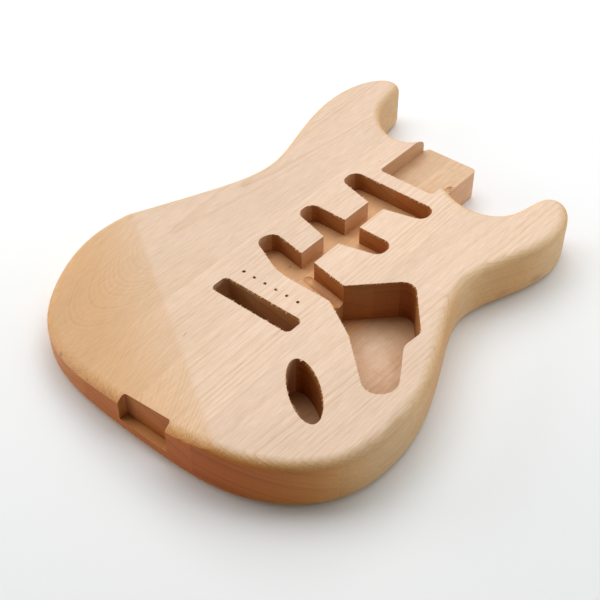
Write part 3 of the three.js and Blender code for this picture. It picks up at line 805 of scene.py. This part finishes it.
class BODY_OT_torn_fibres(bpy.types.Operator):
    """Fibres that the cutter left at the rims of the routes and where the pocket's wall broke out"""

    bl_idname = "body.torn_fibres"
    bl_label = "Torn fibres"

    def execute(self, context):
        sizes = context.scene.body_sizes
        chance = np.random.default_rng(FRAY_SEED)
        meshes = [bpy.data.objects[board + "_wood"].data for board in GROWTH]
        found = [rim_points(mesh, sizes.fray_spacing, chance) for mesh in meshes]
        roots, along, facing = (np.concatenate(values) for values in zip(*found))
        if not len(roots):
            raise RuntimeError("no rim of a route was found")

        # Each sliver points along the fibres into the opening, strays a little and droops
        number = len(roots)
        stray = STRAY * (chance.random(number) - 0.5)
        way = np.stack([stray, np.sign(facing[:, 1]), -DROOP * chance.random(number)], axis=1)
        length = SHORTEST + (1 - SHORTEST) * chance.random(number) ** RARE_LENGTH
        length = sizes.fray_length * length
        width = MM * (FRAY_WIDTH + FRAY_WIDTH_SPREAD * chance.random(number))
        roots = roots - way * ROOT_BACK * MM - np.array([0, 0, ROOT_DOWN * MM])

        # On the broken edge they lie on the pocket's floor, askew to the fibres
        number = BREAK_COUNT
        low, high = np.array(BREAK_LOW), np.array(BREAK_HIGH)
        spread = low + (high - low) * chance.random((number, 3)) + LAYOUT
        rise = np.stack([least + more * chance.random(number) for least, more in BREAK_WAYS], axis=1)
        roots = np.concatenate([roots, spread * MM])
        along = np.concatenate([along, np.tile(BREAK_ACROSS, (number, 1))])
        way = np.concatenate([way, rise])
        broken = MM * (BREAK_LENGTH + BREAK_LENGTH_SPREAD * chance.random(number))
        length = np.concatenate([length, broken])
        broken = MM * (BREAK_WIDTH + BREAK_WIDTH_SPREAD * chance.random(number))
        width = np.concatenate([width, broken])

        corners, faces = slivers(roots, along, way, length, width)
        mesh = bpy.data.meshes.new("torn_fibres")
        mesh.from_pydata(corners, [], faces)
        # Clean torn fibre is pale straw, so that a sliver stands out from the brown wall, and burnt
        # orange where the cutter rubbed it
        for name, colour in (("torn alder fibre", "#edcba6"), ("burnt alder fibre", "#cf9058")):
            mesh.materials.append(matt(name, colour, roughness=0.8, specular=0.2))
        burnt = chance.random(len(roots)) < BURNT_SHARE
        mesh.polygons.foreach_set("material_index", np.repeat(burnt, 4).astype(np.int32))
        piece = bpy.data.objects.new("torn_fibres", mesh)
        context.scene.collection.objects.link(piece)
        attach(piece, "root")
        return {"FINISHED"}


# ---------------------------------------------------------------- stage

# Camera that took the photograph: place in metres, turn, tilt down from level and roll in degrees, and
# lens and sensor in millimetres
CAMERA_PLACE = (0.43216, -0.55060, 0.61186)
CAMERA_TURN = 40.283
CAMERA_TILT = 42.331
CAMERA_ROLL = -0.21
CAMERA_LENS = 65.827
CAMERA_SENSOR = 36

# Soft boxes that face the middle of the floor: place, width and depth in metres, watts and colour
LAMPS = {
    "overhead scrim": ((-0.36, 0.40, 1.55), 2.8, 1.2, 26.2, "#ffffff"),
    "back window": ((-0.73, 0.94, 1.07), 1.0, 0.5, 5, "#ffffff"),
    "right card": ((1.15, 0.9, 0.7), 0.9, 0.9, 4.5, "#fffdfa"),
    "left card": ((-1.3, -0.85, 0.42), 0.9, 0.9, 10, "#fffdfa"),
}
WORLD_COLOUR = "#f4fff8"
WORLD_STRENGTH = 0.19

# How far the floor lies under the body, so that the two never fight for the same place
FLOOR_GAP = 0.2 * MM


class BODY_OT_stage(bpy.types.Operator):
    """Camera at the photographed angle, pale floor and soft studio light"""

    bl_idname = "body.stage"
    bl_label = "Stage"

    def execute(self, context):
        scene = context.scene
        scene.view_settings.view_transform = "Standard"
        data = bpy.data.cameras.new("camera")
        data.lens = CAMERA_LENS
        data.sensor_width = CAMERA_SENSOR
        camera = bpy.data.objects.new("camera", data)
        turn = Matrix.Rotation(math.radians(CAMERA_TURN), 4, "Z")
        tilt = Matrix.Rotation(math.radians(90 - CAMERA_TILT), 4, "X")
        roll = Matrix.Rotation(math.radians(CAMERA_ROLL), 4, "Z")
        camera.matrix_world = Matrix.Translation(CAMERA_PLACE) @ turn @ tilt @ roll
        scene.collection.objects.link(camera)
        scene.camera = camera

        half = scene.body_sizes.floor_width / 2
        corners = np.array([(-1, -1, 0), (1, -1, 0), (1, 1, 0), (-1, 1, 0)]) * half
        mesh = bpy.data.meshes.new("floor")
        mesh.from_pydata(corners - (0, 0, FLOOR_GAP), [], [(0, 1, 2, 3)])
        # Paper without a coating is an even white with no gloss
        mesh.materials.append(matt("matt white paper", "#f4f4f5", roughness=0.9, specular=0.1))
        floor = bpy.data.objects.new("floor", mesh)
        scene.collection.objects.link(floor)

        scene.world = bpy.data.worlds.new("studio")
        scene.world.use_nodes = True
        background = scene.world.node_tree.nodes["Background"]
        background.inputs["Color"].default_value = (*linear(WORLD_COLOUR), 1)
        background.inputs["Strength"].default_value = WORLD_STRENGTH
        for name, (place, width, depth, power, colour) in LAMPS.items():
            light = bpy.data.lights.new(name, "AREA")
            light.shape = "RECTANGLE"
            light.size = width
            light.size_y = depth
            light.energy = power
            light.color = linear(colour)
            lamp = bpy.data.objects.new(name, light)
            lamp.location = place
            lamp.rotation_euler = (-Vector(place)).to_track_quat("-Z", "Y").to_euler()
            scene.collection.objects.link(lamp)
        return {"FINISHED"}


# ---------------------------------------------------------------- panel and start

OPERATORS = (
    BODY_OT_bass_board,
    BODY_OT_centre_bass_board,
    BODY_OT_centre_treble_board,
    BODY_OT_treble_board,
    BODY_OT_treble_edge_strip,
    BODY_OT_torn_fibres,
    BODY_OT_stage,
)


class BODY_PT_panel(bpy.types.Panel):
    """Steps that build the guitar body, with its sizes and colours"""

    bl_label = "Guitar Body"
    bl_idname = "BODY_PT_panel"
    bl_space_type = "VIEW_3D"
    bl_region_type = "UI"
    bl_category = "Guitar Body"

    def draw(self, context):
        column = self.layout.column()
        for group in (context.scene.body_sizes, context.scene.wood_colours):
            for key in group.__annotations__:
                column.prop(group, key)
        for step in OPERATORS:
            column.operator(step.bl_idname)


CLASSES = (BodySizes, WoodColours, *OPERATORS, BODY_PT_panel)


def register():
    for each in CLASSES:
        bpy.utils.register_class(each)
    bpy.types.Scene.body_sizes = bpy.props.PointerProperty(type=BodySizes)
    bpy.types.Scene.wood_colours = bpy.props.PointerProperty(type=WoodColours)


def unregister():
    del bpy.types.Scene.wood_colours
    del bpy.types.Scene.body_sizes
    for each in reversed(CLASSES):
        bpy.utils.unregister_class(each)


def main():
    register()
    bpy.ops.body.stage()
    bpy.ops.body.bass_board()
    bpy.ops.body.centre_bass_board()
    bpy.ops.body.centre_treble_board()
    bpy.ops.body.treble_board()
    bpy.ops.body.treble_edge_strip()
    bpy.ops.body.torn_fibres()


if __name__ == "__main__":
    main()
